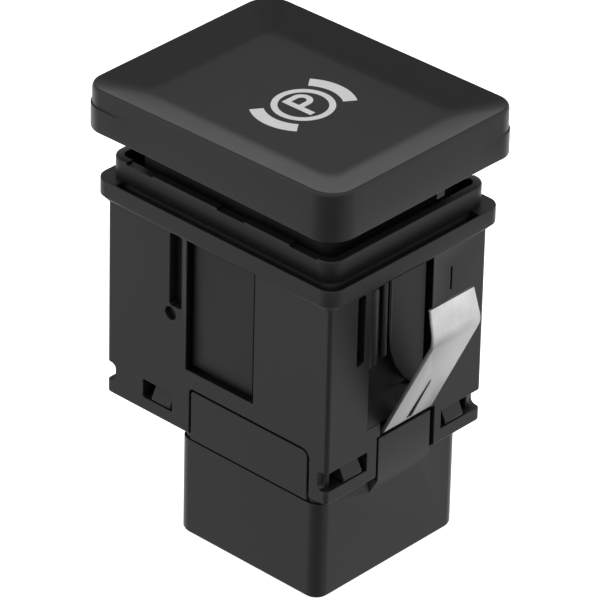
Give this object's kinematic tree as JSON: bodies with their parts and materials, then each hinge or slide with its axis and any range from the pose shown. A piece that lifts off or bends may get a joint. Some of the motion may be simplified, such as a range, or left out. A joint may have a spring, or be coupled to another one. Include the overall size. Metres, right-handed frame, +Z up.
{
  "type": "electric parking brake switch",
  "caption": "Console push switch with a broad dished cap over a deep rectangular housing, spring clips on both ends and a connector shroud below.",
  "frame": {"origin": "on the rim plane of the connector shroud, under the middle of the housing", "axes": "+Z up through the cap along its press, X across the housing's narrow width, Y along its long width, with the cap's crest falling towards +Y"},
  "size_m": [0.0298, 0.0484, 0.0547],
  "materials": {
    "housing_plastic": "fine satin, moulded",
    "cap_plastic": "fine grain, satin",
    "inner_plastic": "matt, moulded",
    "clear_plastic": "clear, polished",
    "spring_steel": "rolled strip, bright",
    "spring_wire": "drawn wire",
    "board_laminate": "solder-masked laminate",
    "contact_case": "plated sheet",
    "lamp_body": "moulded, satin",
    "chip_ceramic": "glazed",
    "capacitor_can": "drawn can",
    "terminal_metal": "tinned"
  },
  "bodies": {
    "switch_body": {"housing": "housing_plastic", "base": "housing_plastic", "circuit_board": "board_laminate", "contact_left": "contact_case", "contact_right": "contact_case", "symbol_lamp": "lamp_body", "night_lamp": "lamp_body", "resistor_left": "chip_ceramic", "resistor_right": "chip_ceramic", "capacitor": "capacitor_can", "guide_frame": "inner_plastic", "light_guide": "clear_plastic", "return_spring_front": "spring_wire", "return_spring_rear": "spring_wire", "terminal_pin_1": "terminal_metal", "terminal_pin_2": "terminal_metal", "terminal_pin_3": "terminal_metal", "terminal_pin_4": "terminal_metal", "terminal_pin_5": "terminal_metal", "terminal_pin_6": "terminal_metal", "terminal_pin_7": "terminal_metal", "terminal_pin_8": "terminal_metal"},
    "button": {"button_cap": "cap_plastic", "plunger": "inner_plastic"},
    "front_clip_leaf": {"front_clip": "spring_steel"},
    "rear_clip_leaf": {"rear_clip": "spring_steel"}
  },
  "joints": [
    {"name": "button_press", "type": "slide", "parent": "switch_body", "child": "button", "axis": [0, 0, -1], "range_m": [0, 0.0025], "stiffness_N_per_m": 900, "springref_m": -0.002, "deforming": ["return_spring_front", "return_spring_rear"]},
    {"name": "front_clip_flex", "type": "hinge", "parent": "switch_body", "child": "front_clip_leaf", "pos_m": [0, -0.01692, 0.01918], "axis": [-1, 0, 0], "range_deg": [0, 12], "stiffness_Nm_per_rad": 0.5},
    {"name": "rear_clip_flex", "type": "hinge", "parent": "switch_body", "child": "rear_clip_leaf", "pos_m": [0, 0.01692, 0.01918], "axis": [1, 0, 0], "range_deg": [0, 12], "stiffness_Nm_per_rad": 0.5}
  ]
}
